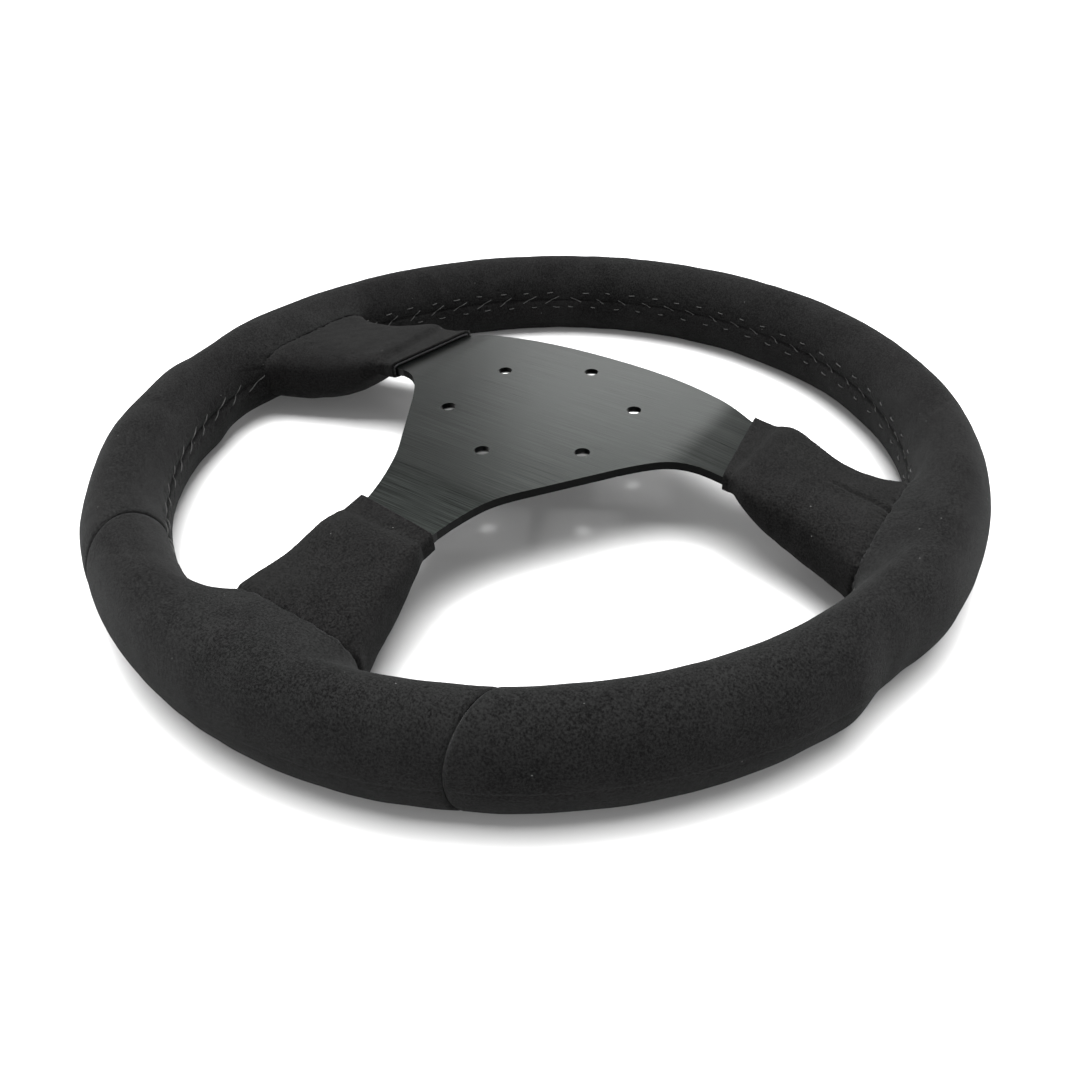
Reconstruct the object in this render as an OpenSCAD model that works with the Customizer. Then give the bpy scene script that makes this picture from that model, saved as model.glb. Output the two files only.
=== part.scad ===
// Three-spoke racing steering wheel: a bent aluminium spoke plate on a steel ring core, foam padding
// and a suede cover with hand-laced seams. It bolts to a hub by six holes on the usual circle.
//
// Frame: the origin is the centre of the bolt circle on the plate's mounting face. +Z runs up the
// steering axis towards the column, +Y points to twelve o'clock and the driver sits on the -Z side,
// so +X is at the driver's left. Left and right in the names are the driver's.

/* [Rim] */
// Outer diameter of the covered rim
rim_d = 320; // [290:1:400]
// Radial width of the grip section
grip_w = 25.6; // [24:0.2:32]
// Axial height of the grip section
grip_h = 37.6; // [30:0.2:46]
// Drop from the mounting face to the middle of the rim
dish = 13.7; // [6:0.1:30]
// Depth of the two thumb rests
rest_depth = 4; // [1:0.1:5]
// Length of each thumb rest, measured straight across
rest_len = 46; // [30:1:70]
// Angle of the thumb rests below three and nine o'clock
rest_angle = 13; // [8:0.5:20]
// Lean of the thumb rests from the rim's outside towards its front
rest_lean = 41; // [30:1:55]

/* [Spoke plate] */
// Thickness of the plate
plate_t = 3; // [2:0.1:4]
// Diameter of the bolt circle
bolt_pcd = 70; // [60:0.1:76]
// Number of bolts
bolt_count = 6; // [6, 9]
// Diameter of the bolt holes
bolt_d = 5.5; // [4.5:0.1:6.5]
// Diameter of the countersinks on the driver's side
sink_d = 7.5; // [7:0.1:9]
// Height of the plate's top edge above the centre
plate_top = 49.6; // [46:0.2:56]
// Half width of the plate where a side spoke goes into its cuff
plate_reach = 72; // [68:0.5:84]
// Height of a side spoke's top edge at its cuff
spoke_high = 34.8; // [30:0.2:40]
// Height of a side spoke's bottom edge at its cuff
spoke_low = -1.9; // [-4:0.1:4]
// Distance from the centre to the lower spoke's cuff
neck_reach = 77; // [72:0.5:88]
// Half width of the lower spoke at its cuff
neck_half_w = 15.5; // [13:0.1:18]
// Distance from the centre to the bends
bend_reach = 58; // [54:0.5:64]
// Inside radius of the bends
bend_r = 60; // [20:1:90]

/* [Core and rivets] */
// Outer diameter of the ring core tube
core_d = 14; // [12:0.1:16]
// Wall of the ring core tube
core_wall = 1.5; // [1:0.1:2.5]
// Width of the spoke tips in the core
tip_w = 26; // [22:0.5:30]
// How far the side spokes' middle lies above three and nine o'clock at the core
tip_rise = 8; // [4:0.5:12]
// Diameter of the rivets
rivet_d = 4; // [3:0.1:5]
// Diameter of the rivet heads
rivet_head_d = 7; // [6:0.1:9]
// Height of the rivet heads
rivet_head_h = 1.2; // [0.8:0.1:2]
// Distance between the two rivets in a spoke
rivet_pitch = 14; // [10:0.5:18]

/* [Suede and padding] */
// Thickness of the suede
suede_t = 1.2; // [0.8:0.1:1.6]
// Thickness of the backing under each cuff
backing_t = 1.1; // [0.6:0.1:1.6]
// Length of each flat cuff
cuff_len = 9; // [6:0.5:14]
// Padding over the plate where a boot starts, suede included
pad_over = 4.5; // [4:0.1:7]
// Padding under the plate where a boot starts, suede included
pad_under = 4; // [3.8:0.1:7]
// Width of a side boot where it starts
side_boot_w = 42; // [40:0.5:48]
// Width of the lower boot where it starts
low_boot_w = 38; // [36:0.5:44]
// Width of every boot where it meets the rim
boot_rim_w = 52; // [46:0.5:60]
// Height of every boot where it meets the rim
boot_rim_h = 20; // [16:0.5:24]
// Angle of the rim's two cross seams on each side of six o'clock
seam_angle = 28; // [24:0.5:34]
// Width of the lacing gap and of the cross seams
seam_gap = 0.5; // [0.3:0.1:1]

/* [Lacing] */
// Diameter of the thread
thread_d = 0.5; // [0.4:0.05:1.2]
// Distance from one stitch to the next
stitch_pitch = 12.2; // [9:0.1:16]
// Distance between the two rows of needle holes
stitch_rows = 7.7; // [6:0.1:12]
// Length of the thread that shows along each row
dash_len = 3.7; // [2:0.1:6]
// Length of the slanting thread across the seam
slant_len = 6.7; // [3:0.1:8]
// Lean of the slanting thread from upright
slant_angle = 68; // [30:1:75]
// Shift of each row's dash along the rim from the slanting thread
dash_shift = 3; // [0:0.1:4]
// Angle at which the upper threads start, right of twelve o'clock
lacing_start = 31; // [10:0.5:45]
// Height of the laced seam above the middle of the rim
seam_rise = 1; // [0:0.1:3]

/* [Hidden] */

$fn = 96;
ring_fn = 180;
tube_fn = 48;
rivet_fn = 32;
thread_fn = 16;
oval_points = 48;
slice_points = 28;
curve_steps = 8;
bend_steps = 8;
eps = 0.05;

fit_gap = 0.3;
skin_gap = 0.05;
far = 3 * rim_d;

grip_r = (rim_d - grip_w) / 2;
core_z = -dish;
inner_r = grip_r - grip_w / 2;
core_r = core_d / 2;

// The plate's middle runs down from the end of its bend to the middle of the core.
drop = dish - plate_t / 2;
slope = atan(drop / (grip_r - bend_reach));
bend_len = bend_r * tan(slope / 2);
tip_room = 1;
tip_u = grip_r + core_r - core_wall - tip_room;

// The tube is milled flat this deep under the rivet heads.
flat_depth = 0.6;
rivet_seat = core_r - flat_depth;

// Handles of the plate's curves: along the top from the middle, in the corner under a side spoke
// from its lower edge at the cuff, and down the neck from its edge at the lower cuff.
top_handles = [[28, 0], [46, -3.1]];
corner_handles = [[-12, 0], [-19, -9.1], [-25.7, -18.1]];
neck_handles = [[11.5, 29], [7, 22.5], [2.5, 14]];

// Below this distance the plate follows the lower spoke's bend, above it the side spokes' bends.
bend_split = 50;

// A boot starts with a short rounded nose, and sags below the plate half way to the rim.
nose_len = 3;
nose_in = 4;
nose_h = 0.4;
waist_up = 0.5;
waist_sag = 5;
slice_power = 0.55;

// A cuff runs on this far under its boot, and a boot this far into the rim.
tuck = 2;
cuff_skin = backing_t + suede_t;
boot_end_u = inner_r + tuck;

// Each spoke's cuff distance, middle and width there, boot width, and middle at the core.
side_root = [plate_reach, (spoke_high + spoke_low) / 2, spoke_high - spoke_low, side_boot_w, tip_rise];
low_root = [neck_reach, 0, 2 * neck_half_w, low_boot_w, 0];

// Half of the angle that a boot takes up along the inside of the rim, with a stitch's room.
boot_half_angle = asin((boot_rim_w / 2 + dash_len / 2) / inner_r);
side_angle = asin(tip_rise / inner_r);

// ---------- curves and outlines ----------

function bezier(p, n = curve_steps) = [
    for (i = [0 : n])
        let (t = i / n, s = 1 - t)
            s * s * s * p[0] + 3 * s * s * t * p[1] + 3 * s * t * t * p[2] + t * t * t * p[3]
];

function backwards(points) = [for (i = [len(points) - 1 : -1 : 0]) points[i]];
function mirrored(points) = [for (p = backwards(points)) [-p[0], p[1]]];

// One half of the plate from the top middle round to the lower spoke's tip.
function half_outline() = concat(
    bezier([[0, plate_top], top_handles[0] + [0, plate_top], top_handles[1] + [0, plate_top],
            [plate_reach, spoke_high]]),
    [[plate_reach + cuff_len + tuck, spoke_high], [tip_u, tip_rise + tip_w / 2],
     [tip_u, tip_rise - tip_w / 2], [plate_reach + cuff_len + tuck, spoke_low]],
    bezier([for (h = concat([[0, 0]], corner_handles)) h + [plate_reach, spoke_low]]),
    bezier([for (h = concat(neck_handles, [[0, 0]])) h + [neck_half_w, -neck_reach]]),
    [[neck_half_w, -neck_reach - cuff_len - tuck], [tip_w / 2, -tip_u]]
);

function oval(w, h) = [
    for (i = [0 : oval_points - 1])
        let (a = 360 * i / oval_points) [w / 2 * cos(a), h / 2 * sin(a)]
];

// ---------- shared shapes ----------

module ring(angle_from, angle_to) {
    translate([0, 0, core_z])
        rotate([0, 0, angle_from])
            rotate_extrude(angle = angle_to - angle_from, $fn = ring_fn)
                translate([grip_r, 0])
                    children();
}

// The grip's solid shape with the skin taken off all round, thumb rests included.
module grip(skin = 0, angle_from = 0, angle_to = 360) {
    difference() {
        ring(angle_from, angle_to) polygon(oval(grip_w - 2 * skin, grip_h - 2 * skin));
        rest_scoop(skin);
    }
}

// Puts a spoke built along +X in its place. side is 1 for left, -1 for right and 0 for the lower one.
module at_spoke(side) {
    if (side == 0) rotate([0, 0, -90]) children();
    else if (side < 0) mirror([1, 0, 0]) children();
    else children();
}

// The drum that scoops a thumb rest out of the outer front shoulder. skin keeps the suede's wall.
module rest_scoop(skin = 0) {
    drum_r = (rest_len * rest_len / 4 + rest_depth * rest_depth) / (2 * rest_depth);
    shoulder = 1 / norm([2 * cos(rest_lean) / grip_w, 2 * sin(rest_lean) / grip_h]);
    for (flip = [0, 1])
        mirror([flip, 0, 0])
            rotate([0, 0, -rest_angle])
                translate([grip_r, 0, core_z])
                    rotate([0, rest_lean, 0])
                        translate([shoulder + drum_r - rest_depth - skin, 0, 0])
                            cylinder(r = drum_r, h = 3 * grip_h, center = true);
}

// Side view of the sheet: flat, round the bend and down the spoke, from u = 0 outwards.
function sheet_line(below) =
    let (start = bend_reach - bend_len)
    concat(
        [[0, -below]],
        [for (i = [0 : bend_steps])
            let (a = slope * i / bend_steps, r = bend_r + plate_t - below)
                [start + r * sin(a), r * cos(a) - bend_r - plate_t]],
        [let (r = bend_r + plate_t - below, run = far / 4)
            [start + r * sin(slope) + run * cos(slope),
             r * cos(slope) - bend_r - plate_t - run * sin(slope)]]
    );

module sheet(top = 0, bottom = plate_t) {
    rotate([90, 0, 0])
        linear_extrude(far, center = true)
            polygon(concat(sheet_line(top), backwards(sheet_line(bottom))));
}

// A slab that follows the spoke's slope, with a layer over and under the plate.
module spoke_slab(from_u, to_u, mid_v, width, over) {
    intersection() {
        sheet(-over, plate_t + over);
        translate([from_u, mid_v - width / 2, -far / 2]) cube([to_u - from_u, width, far]);
    }
}

// Middle and half width of a hidden spoke at distance u, between its cuff and its tip.
function along(root, u) = (u - root[0] - cuff_len - tuck) / (tip_u - root[0] - cuff_len - tuck);
function spoke_mid(root, u) = root[1] + (root[4] - root[1]) * along(root, u);
function spoke_half(root, u) = (root[2] + (tip_w - root[2]) * along(root, u)) / 2;

// The stretch of spoke that lies hidden in the rim, with room round it.
module spoke_passage(side, room = fit_gap) {
    root = side == 0 ? low_root : side_root;
    ends = [inner_r - 2 * tuck, tip_u];
    edge = [for (u = ends) [u, spoke_mid(root, u) + spoke_half(root, u) + room]];
    other = [for (u = backwards(ends)) [u, spoke_mid(root, u) - spoke_half(root, u) - room]];
    at_spoke(side)
        intersection() {
            sheet(-room, plate_t + room);
            linear_extrude(far, center = true)
                polygon(concat(edge, [for (p = [edge[1], other[0]]) p + [room, 0]], other));
        }
}

function plate_z(u) = -(u - bend_reach) * tan(slope);

// ---------- spoke plate ----------

module plate_outline() {
    polygon(concat(half_outline(), mirrored(half_outline())));
}

module bolt_places() {
    for (i = [0 : bolt_count - 1])
        rotate([0, 0, 90 + 360 * i / bolt_count])
            translate([bolt_pcd / 2, 0, 0])
                children();
}

module bolt_hole() {
    sink_h = (sink_d - bolt_d) / 2;
    translate([0, 0, -plate_t - 1]) cylinder(d = bolt_d, h = plate_t + 2);
    translate([0, 0, -plate_t - eps])
        cylinder(d1 = sink_d + 2 * eps, d2 = bolt_d, h = sink_h + eps);
}

module spoke_plate() {
    color("dimgray")
        difference() {
            union() {
                for (flip = [0, 1])
                    mirror([flip, 0, 0])
                        intersection() {
                            sheet();
                            linear_extrude(far, center = true) plate_outline();
                            translate([0, -bend_split, -far / 2]) cube([far, far, far]);
                        }
                intersection() {
                    rotate([0, 0, -90]) sheet();
                    linear_extrude(far, center = true) plate_outline();
                    translate([-far / 2, -bend_split - far, -far / 2]) cube([far, far, far]);
                }
            }
            bolt_places() bolt_hole();
            rivet_places() rivet_hole();
        }
}

// ---------- ring core and rivets ----------

module rivet_places() {
    for (side = [-1, 0, 1])
        at_spoke(side)
            for (step = [-0.5, 0.5]) {
                v = (side == 0 ? 0 : tip_rise) + step * rivet_pitch;
                translate([sqrt(grip_r * grip_r - v * v), v, core_z]) children();
            }
}

module rivet_hole() {
    cylinder(d = rivet_d, h = 2 * core_d, center = true, $fn = rivet_fn);
}

// The heads sit on flats so that they bear on the round tube.
module rivet_flat() {
    for (up = [0, 1])
        mirror([0, 0, up])
            translate([0, 0, rivet_seat])
                cylinder(d = rivet_head_d + fit_gap, h = core_d, $fn = rivet_fn);
}

module rivet() {
    cylinder(d = rivet_d, h = 2 * rivet_seat, center = true, $fn = rivet_fn);
    for (up = [0, 1])
        mirror([0, 0, up])
            translate([0, 0, rivet_seat])
                cylinder(d1 = rivet_head_d, d2 = rivet_d, h = rivet_head_h, $fn = rivet_fn);
}

module rim_core() {
    color("slategray")
        difference() {
            ring(0, 360)
                difference() {
                    circle(r = core_r, $fn = tube_fn);
                    circle(r = core_r - core_wall, $fn = tube_fn);
                }
            for (side = [-1, 0, 1]) spoke_passage(side, skin_gap);
            rivet_places() rivet_hole();
            rivet_places() rivet_flat();
        }
}

module spoke_rivets() {
    color("silver") rivet_places() rivet();
}

// ---------- foam ----------

module rim_foam() {
    head_room = core_d + 2 * rivet_head_h;
    color("gray")
        difference() {
            grip(suede_t);
            ring(0, 360) circle(r = core_r, $fn = tube_fn);
            for (side = [-1, 0, 1]) spoke_passage(side);
            rivet_places()
                cylinder(d = rivet_head_d + fit_gap, h = head_room, center = true, $fn = rivet_fn);
        }
}

// ---------- spoke boots ----------

// One cross-section of a boot at distance u: middle, width, top and bottom, rounded by a superellipse.
module boot_slice(u, mid_v, width, top, bottom, skin) {
    half_w = width / 2 - skin;
    half_h = (top - bottom) / 2 - skin;
    translate([u, mid_v, (top + bottom) / 2])
        rotate([90, 0, 90])
            linear_extrude(eps)
                polygon([for (i = [0 : slice_points - 1])
                    let (a = 360 * (i + 0.5) / slice_points)
                        [half_w * sign(cos(a)) * pow(abs(cos(a)), slice_power),
                         half_h * sign(sin(a)) * pow(abs(sin(a)), slice_power)]]);
}

// The padded body of a boot, from its cuff into the rim. skin takes the suede off all round.
module boot_body(root, skin = 0) {
    start_u = root[0] + cuff_len;
    full_u = start_u + nose_len;
    waist_u = (full_u + boot_end_u) / 2;
    rim_top = plate_z(boot_end_u) - plate_t / 2 + boot_rim_h / 2;
    stations = [
        [start_u + skin, root[1], root[3] - nose_in, plate_z(start_u) + cuff_skin + nose_h,
            plate_z(start_u) - plate_t - cuff_skin - nose_h],
        [full_u, spoke_mid(root, full_u), root[3], plate_z(full_u) + pad_over,
            plate_z(full_u) - plate_t - pad_under],
        [waist_u, spoke_mid(root, waist_u), root[3], plate_z(waist_u) + pad_over + waist_up,
            plate_z(waist_u) - plate_t - pad_under - waist_sag],
        [boot_end_u, root[4], boot_rim_w, rim_top, rim_top - boot_rim_h]
    ];
    for (i = [0 : len(stations) - 2])
        hull()
            for (s = [stations[i], stations[i + 1]])
                boot_slice(s[0], s[1], s[2], s[3], s[4], skin);
}

// The flat stretch of a spoke inside its cuff, with a layer over, under and at the sides.
module cuff_block(root, over, beside = 0, before = 0) {
    spoke_slab(root[0] - before, root[0] + cuff_len + tuck, root[1], root[2] + 2 * beside, over);
}

module boot(side) {
    root = side == 0 ? low_root : side_root;
    color("#2b2b2d")
        difference() {
            union() {
                at_spoke(side) boot_body(root);
                at_spoke(side) cuff_block(root, cuff_skin, suede_t);
            }
            at_spoke(side) boot_body(root, suede_t);
            at_spoke(side) cuff_block(root, backing_t, before = eps);
            grip();
        }
}

module spoke_pad(side) {
    root = side == 0 ? low_root : side_root;
    color("gray")
        difference() {
            at_spoke(side) boot_body(root, suede_t);
            at_spoke(side) cuff_block(root, backing_t);
            spoke_plate();
            grip();
        }
}

// Two strips, one glued on each face of the plate.
module cuff_backing(side) {
    root = side == 0 ? low_root : side_root;
    color("#3a3a3c")
        at_spoke(side)
            difference() {
                cuff_block(root, backing_t);
                sheet();
            }
}

// ---------- rim cover ----------

// The cross seams' gap as an angle.
seam_cut = 2 * asin(seam_gap / 2 / grip_r);

module lacing_gap() {
    ring(0, 360)
        translate([-grip_w / 2 - suede_t, seam_rise - seam_gap / 2])
            square([2 * suede_t + seam_gap, seam_gap]);
}

module rim_cover(angle_from, angle_to) {
    color("#2b2b2d")
        difference() {
            grip(0, angle_from, angle_to);
            grip(suede_t);
            lacing_gap();
            for (side = [-1, 0, 1]) spoke_passage(side);
        }
}

// ---------- lacing ----------

// One stitch: a dash in each row and a slanting thread across the gap. lean is 1 or -1.
module stitch(lean) {
    function wall_x(z) =
        grip_r - grip_w / 2 * sqrt(1 - pow(2 * z / grip_h, 2)) - thread_d / 2 - skin_gap;
    row = stitch_rows / 2;
    translate([wall_x(seam_rise), 0, core_z + seam_rise])
        rotate([slant_angle * lean, 0, 0])
            cylinder(d = thread_d, h = slant_len, center = true, $fn = thread_fn);
    for (up = [-1, 1])
        translate([wall_x(seam_rise + up * row), up * lean * dash_shift, core_z + seam_rise + up * row])
            rotate([90, 0, 0])
                cylinder(d = thread_d, h = dash_len, center = true, $fn = thread_fn);
}

module lacing(angle_from, angle_to, lean) {
    step = stitch_pitch / inner_r * 180 / PI;
    count = floor((angle_to - angle_from) / step);
    color("#4a4a4c")
        for (i = [0 : count - 1])
            rotate([0, 0, angle_from + (i + 0.5) * step]) stitch(lean);
}

// ---------- nodes ----------

spoke_plate();
rim_core();
spoke_rivets();
rim_foam();
spoke_pad(1);  // spoke_pad_left
spoke_pad(-1);  // spoke_pad_right
spoke_pad(0);  // spoke_pad_lower
rim_cover(seam_angle - 90 + seam_cut, 270 - seam_angle);  // rim_cover_upper
rim_cover(-90 - seam_angle + seam_cut, -90 + seam_angle);  // rim_cover_lower
boot(1);  // boot_left
boot(-1);  // boot_right
boot(0);  // boot_lower
cuff_backing(1);  // cuff_backing_left
cuff_backing(-1);  // cuff_backing_right
cuff_backing(0);  // cuff_backing_lower
lacing(side_angle + boot_half_angle, 90 + lacing_start, -1);  // thread_upper_left
lacing(90 + lacing_start, 180 - side_angle - boot_half_angle, 1);  // thread_upper_right
lacing(boot_half_angle - 90, side_angle - boot_half_angle, -1);  // thread_lower_left
lacing(180 - side_angle + boot_half_angle, 270 - boot_half_angle, 1);  // thread_lower_right
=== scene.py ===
import math

import bpy
import numpy as np
from mathutils import Matrix, Vector


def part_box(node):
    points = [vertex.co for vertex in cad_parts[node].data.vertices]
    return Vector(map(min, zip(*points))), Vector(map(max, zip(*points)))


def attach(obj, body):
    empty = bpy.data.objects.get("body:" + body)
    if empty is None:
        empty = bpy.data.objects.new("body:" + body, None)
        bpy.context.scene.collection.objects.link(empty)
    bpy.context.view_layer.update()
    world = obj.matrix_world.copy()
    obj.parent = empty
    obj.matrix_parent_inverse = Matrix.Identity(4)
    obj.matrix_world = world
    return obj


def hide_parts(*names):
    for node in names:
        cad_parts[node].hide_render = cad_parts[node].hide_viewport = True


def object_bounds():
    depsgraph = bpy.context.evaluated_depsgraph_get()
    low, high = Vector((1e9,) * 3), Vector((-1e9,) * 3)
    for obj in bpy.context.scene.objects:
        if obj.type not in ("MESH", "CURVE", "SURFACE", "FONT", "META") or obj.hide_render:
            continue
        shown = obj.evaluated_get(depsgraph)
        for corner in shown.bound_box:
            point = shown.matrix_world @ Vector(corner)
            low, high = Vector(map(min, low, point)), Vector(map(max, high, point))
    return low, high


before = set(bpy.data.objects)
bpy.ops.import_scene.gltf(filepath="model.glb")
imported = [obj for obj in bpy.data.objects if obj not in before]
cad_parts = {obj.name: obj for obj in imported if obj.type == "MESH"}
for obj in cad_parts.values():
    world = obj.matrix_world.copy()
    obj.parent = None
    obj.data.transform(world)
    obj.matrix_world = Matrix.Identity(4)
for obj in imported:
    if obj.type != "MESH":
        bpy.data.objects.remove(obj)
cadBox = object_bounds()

# Settings are in millimetres and degrees unless a note says otherwise. makeMesh scales the points
# to metres. Sizes inside materials are in metres, or in waves to the metre.
# u runs out along a spoke and v across it, towards twelve o'clock on the side spokes.
mm = 0.001
tau = 2 * math.pi


def smooth(t):
    t = np.clip(t, 0, 1)
    return t * t * (3 - 2 * t)


def bump(t):
    return np.exp(-t * t)


def ramp(value, start, end):
    return smooth((value - start) / (end - start))


# A smooth random field from waves of about one size, from -1 to 1 or so.
def lumps(points, size, seed, waves=22):
    rng = np.random.default_rng(seed)
    total = np.zeros(points.shape[:-1])
    for _ in range(waves):
        direction = rng.normal(size=3)
        direction *= tau / (size * rng.uniform(0.7, 1.5) * np.linalg.norm(direction))
        total += np.sin(points @ direction + rng.uniform(0, tau))
    return total / math.sqrt(waves)


# Turns the faces so that a closed mesh looks outwards.
def facingOut(points, quads):
    a, b, c, d = (points[quads[:, i]] for i in range(4))
    volume = np.sum(np.cross(b - a, c - a) * a) + np.sum(np.cross(c - a, d - a) * a)
    return quads if volume > 0 else quads[:, ::-1]


def makeMesh(name, points, quads, material):
    quads = facingOut(points, quads)
    mesh = bpy.data.meshes.new(name)
    mesh.vertices.add(len(points))
    mesh.vertices.foreach_set("co", (points * mm).astype(np.float32).ravel())
    mesh.loops.add(quads.size)
    mesh.loops.foreach_set("vertex_index", quads.astype(np.int32).ravel())
    mesh.polygons.add(len(quads))
    mesh.polygons.foreach_set("loop_start", np.arange(0, quads.size, 4, dtype=np.int32))
    mesh.polygons.foreach_set("use_smooth", np.ones(len(quads), bool))
    mesh.update(calc_edges=True)
    mesh.validate()
    mesh.materials.append(material)
    piece = bpy.data.objects.new(name, mesh)
    bpy.context.scene.collection.objects.link(piece)
    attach(piece, "root")
    return piece


# Quads between the rows of a grid whose columns close on themselves.
def tubeQuads(rows, columns):
    row, column = np.meshgrid(np.arange(rows - 1), np.arange(columns), indexing="ij")
    after = (column + 1) % columns
    corners = [row * columns + column, (row + 1) * columns + column,
               (row + 1) * columns + after, row * columns + after]
    return np.stack(corners, -1).reshape(-1, 4)


# A hollow sleeve: an outer and an inner skin of rings, closed at both ends.
def sleeve(outer, inner):
    columns = outer.shape[1]
    rings = np.concatenate([outer, inner[::-1], outer[:1]])
    quads = tubeQuads(len(rings), columns)
    points = rings[:-1].reshape(-1, 3)
    return points, quads % len(points)


# A ring drawn in towards its own middle.
def drawnIn(ring, share):
    middle = ring.mean(1, keepdims=True)
    return middle + (ring - middle) * share


# A closed body from rings, with its two end rings drawn in to a point's width.
def solidBody(rings):
    caps = [drawnIn(rings[:1], share) for share in (0.02, 0.5)]
    ends = [drawnIn(rings[-1:], share) for share in (0.5, 0.02)]
    allRings = np.concatenate(caps + [rings] + ends)
    columns = rings.shape[1]
    quads = [tubeQuads(len(allRings), columns)]
    half = columns // 2
    for start, flip in ((0, False), ((len(allRings) - 1) * columns, True)):
        cap = [[start + i, start + i + 1, start + columns - 2 - i, start + columns - 1 - i]
               for i in range(half - 1)]
        quads.append(np.array([q[::-1] if flip else q for q in cap]))
    return allRings.reshape(-1, 3), np.concatenate(quads)


# A round cord along a path of points.
def tube(path, radius, sides=8):
    path = np.asarray(path, float)
    along = np.gradient(path, axis=0)
    along /= np.linalg.norm(along, axis=1, keepdims=True)
    tilted = np.array([0.13, 0.21, 0.97])    # no thread runs this way
    across = np.cross(along, tilted)
    across /= np.linalg.norm(across, axis=1, keepdims=True)
    other = np.cross(along, across)
    angle = np.arange(sides) * tau / sides
    return (path[:, None] + radius * (np.cos(angle)[None, :, None] * across[:, None]
                                      + np.sin(angle)[None, :, None] * other[:, None]))


print("stage: materials")


def newMaterial(name):
    material = bpy.data.materials.new(name)
    material.use_nodes = True
    tree = material.node_tree
    return material, tree.nodes, tree.links, tree.nodes["Principled BSDF"]


def addNode(nodes, kind, values=(), **settings):
    node = nodes.new(kind)
    for key, value in settings.items():
        setattr(node, key, value)
    for key, value in dict(values).items():
        node.inputs[key].default_value = value
    return node


# A colour ramp between two colours at two places.
def addTones(nodes, places, colours):
    tones = nodes.new("ShaderNodeValToRGB")
    for element, place, colour in zip(tones.color_ramp.elements, places, colours):
        element.position, element.color = place, colour
    return tones


suede = {
    "napSize": 1500.0, "cloudSize": 45.0, "lintSize": 240.0,      # waves or cells to the metre
    "lintRadius": (0.055, 0.03), "lintRarity": 0.84,
    "napShare": 0.84, "cloudShare": 0.16, "tonePlaces": (0.42, 0.58),
    "napStrength": 0.8, "napHeight": 0.00035,
    "roughness": 0.95, "gloss": 0.05,
    "sheen": 0.03, "sheenSpread": 0.45, "sheenTint": (0.8, 0.82, 0.82, 1),
    "lintColour": (0.09, 0.09, 0.088, 1),
}


# Fuzz, shade changes and flecks of lint that every suede shows.
def makeNapGroup():
    group = bpy.data.node_groups.new("suedeNap", "ShaderNodeTree")
    for name, value in (("Nap size", suede["napSize"]), ("Cloud size", suede["cloudSize"]),
                        ("Lint size", suede["lintSize"])):
        socket = group.interface.new_socket(name, in_out="INPUT", socket_type="NodeSocketFloat")
        socket.default_value = value
    for name in ("Nap", "Clouds", "Lint"):
        group.interface.new_socket(name, in_out="OUTPUT", socket_type="NodeSocketFloat")
    nodes, links = group.nodes, group.links
    inside = nodes.new("NodeGroupInput")
    outside = nodes.new("NodeGroupOutput")
    place = nodes.new("ShaderNodeTexCoord")
    nap = addNode(nodes, "ShaderNodeTexNoise", {"Detail": 6.0, "Roughness": 0.8})
    clouds = addNode(nodes, "ShaderNodeTexNoise",
                     {"Detail": 4.0, "Roughness": 0.6, "Distortion": 0.6})
    flecks = addNode(nodes, "ShaderNodeTexVoronoi", feature="F1")
    fleckEdge, fleckMiddle = suede["lintRadius"]
    fleckShape = addNode(nodes, "ShaderNodeMapRange",
                         {"From Min": fleckEdge, "From Max": fleckMiddle})
    pick = nodes.new("ShaderNodeSeparateColor")
    rare = addNode(nodes, "ShaderNodeMath", {1: suede["lintRarity"]}, operation="GREATER_THAN")
    both = addNode(nodes, "ShaderNodeMath", operation="MULTIPLY")
    for texture, socket in ((nap, "Nap size"), (clouds, "Cloud size"), (flecks, "Lint size")):
        links.new(place.outputs["Object"], texture.inputs["Vector"])
        links.new(inside.outputs[socket], texture.inputs["Scale"])
    links.new(flecks.outputs["Distance"], fleckShape.inputs["Value"])
    links.new(flecks.outputs["Color"], pick.inputs["Color"])
    links.new(pick.outputs["Red"], rare.inputs[0])
    links.new(fleckShape.outputs["Result"], both.inputs[0])
    links.new(rare.outputs["Value"], both.inputs[1])
    links.new(nap.outputs["Fac"], outside.inputs["Nap"])
    links.new(clouds.outputs["Fac"], outside.inputs["Clouds"])
    links.new(both.outputs["Value"], outside.inputs["Lint"])
    return group


napGroup = makeNapGroup()


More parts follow.
